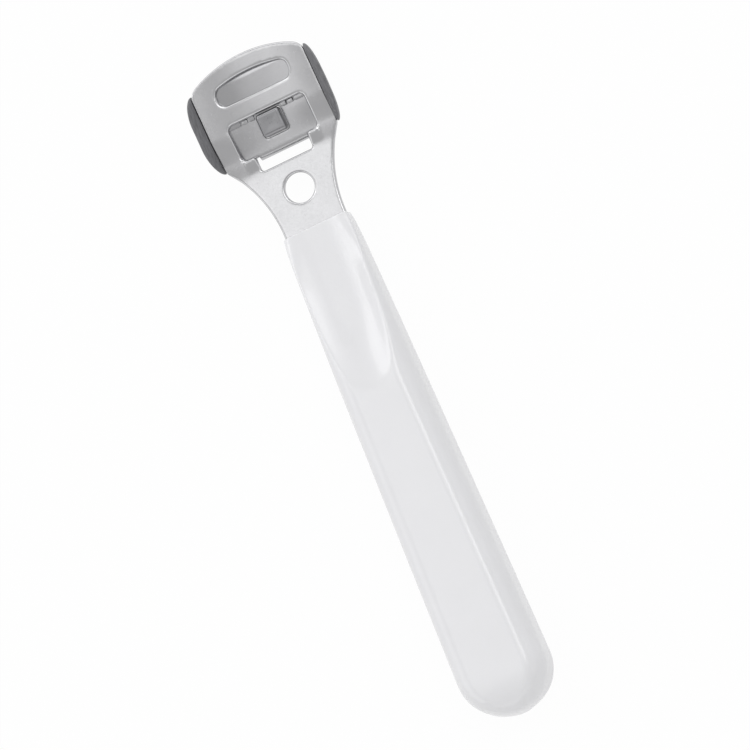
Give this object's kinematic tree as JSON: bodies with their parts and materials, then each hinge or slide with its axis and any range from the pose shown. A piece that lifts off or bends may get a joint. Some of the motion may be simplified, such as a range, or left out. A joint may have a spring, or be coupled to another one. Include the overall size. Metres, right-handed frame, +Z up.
{
  "type": "corn cutter",
  "caption": "Hand-held corn cutter with a hollow steel head, a swing-down blade holder with plastic side grips and a moulded handle.",
  "frame": {"origin": "Middle of the part's box, at the height of the flat it lies on", "axes": "+Y towards the tip of the head, +X to the right seen from the thumb side, +Z up out of the thumb side"},
  "size_m": [0.032, 0.1582, 0.0146],
  "materials": {
    "white_plastic": "glossy moulded plastic",
    "frame_steel": "tumbled stainless steel",
    "pin_steel": "bright drawn wire",
    "holder_steel": "tumbled stainless steel",
    "tongue_steel": "tumbled spring steel",
    "blade_steel": "bright rolled steel",
    "dark_plastic": "dark grey moulded plastic"
  },
  "bodies": {
    "body": {"handle": "white_plastic", "head_frame": "frame_steel", "hinge_pin": "pin_steel"},
    "holder": {"blade_holder": "holder_steel", "blade": "blade_steel", "left_side_grip": "dark_plastic", "right_side_grip": "dark_plastic"},
    "latch": {"latch_tongue": "tongue_steel"}
  },
  "joints": [
    {"name": "holder_swing", "type": "hinge", "parent": "body", "child": "holder", "pos_m": [0, 0.05776, 0.0046], "axis": [-1, 0, 0], "range_deg": [0, 95]},
    {"name": "latch_flex", "type": "hinge", "parent": "holder", "child": "latch", "pos_m": [0, 0.0601, 0.00589], "axis": [1, 0, 0], "range_deg": [0, 5], "stiffness_Nm_per_rad": 0.005}
  ]
}
